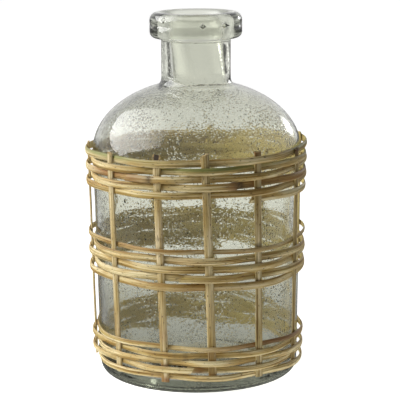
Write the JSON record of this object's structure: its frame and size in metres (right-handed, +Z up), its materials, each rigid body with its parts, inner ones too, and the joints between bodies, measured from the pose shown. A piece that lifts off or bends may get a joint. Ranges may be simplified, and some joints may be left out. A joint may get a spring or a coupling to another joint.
{
  "type": "rattan wrapped bottle",
  "caption": "Round-shouldered clear glass bottle with a rolled lip and an open mouth, in a sleeve of split rattan woven in bands over and under upright stakes.",
  "frame": {"origin": "on the bottle's axis, at the level of the ring it stands on", "axes": "+Z up along the bottle's axis, -Y towards the side that the picture shows, +X to the right of that view"},
  "size_m": [0.1555, 0.1559, 0.254],
  "materials": {
    "seeded_glass": "clear, faintly grey-green, full of fine bubbles",
    "stake_cane": "split rattan, satin skin side outwards",
    "weaver_cane": "split rattan, satin skin side outwards, green and brown in places"
  },
  "bodies": {
    "root": {"glass_bottle": "seeded_glass", "stake_01": "stake_cane", "stake_02": "stake_cane", "stake_03": "stake_cane", "stake_04": "stake_cane", "stake_05": "stake_cane", "stake_06": "stake_cane", "stake_07": "stake_cane", "stake_08": "stake_cane", "stake_09": "stake_cane", "stake_10": "stake_cane", "stake_11": "stake_cane", "top_weaver_lower": "weaver_cane", "top_weaver_middle": "weaver_cane", "top_weaver_upper": "weaver_cane", "middle_weaver_lower": "weaver_cane", "middle_weaver_upper": "weaver_cane", "bottom_weaver_lower": "weaver_cane", "bottom_weaver_upper": "weaver_cane"}
  },
  "joints": []
}
